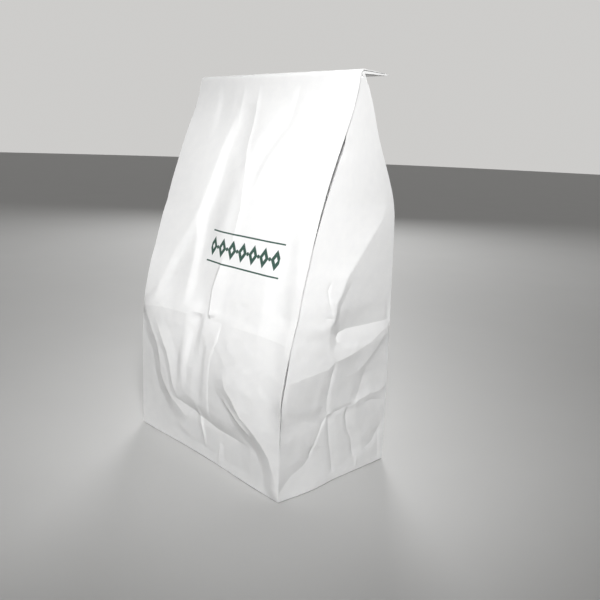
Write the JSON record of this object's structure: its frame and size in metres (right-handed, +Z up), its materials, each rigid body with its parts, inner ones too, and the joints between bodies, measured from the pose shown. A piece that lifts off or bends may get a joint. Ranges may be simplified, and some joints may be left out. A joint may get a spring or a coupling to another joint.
{
  "type": "folded paper takeaway bag",
  "caption": "White paper takeaway bag with a block bottom, standing shut with its mouth folded over once to the back.",
  "frame": {"origin": "middle of the flat base, on the surface the bag stands on", "axes": "+Z up, the printed front panel faces -Y, the folded flap points to +Y, and +X is to the right as seen from the front"},
  "size_m": [0.184, 0.1181, 0.2935],
  "materials": {
    "white_paper": "matt white uncoated paper with a faint fibre texture, soft creases and a small dark green print"
  },
  "bodies": {
    "root": {"paper_bag": "white_paper"}
  },
  "joints": []
}
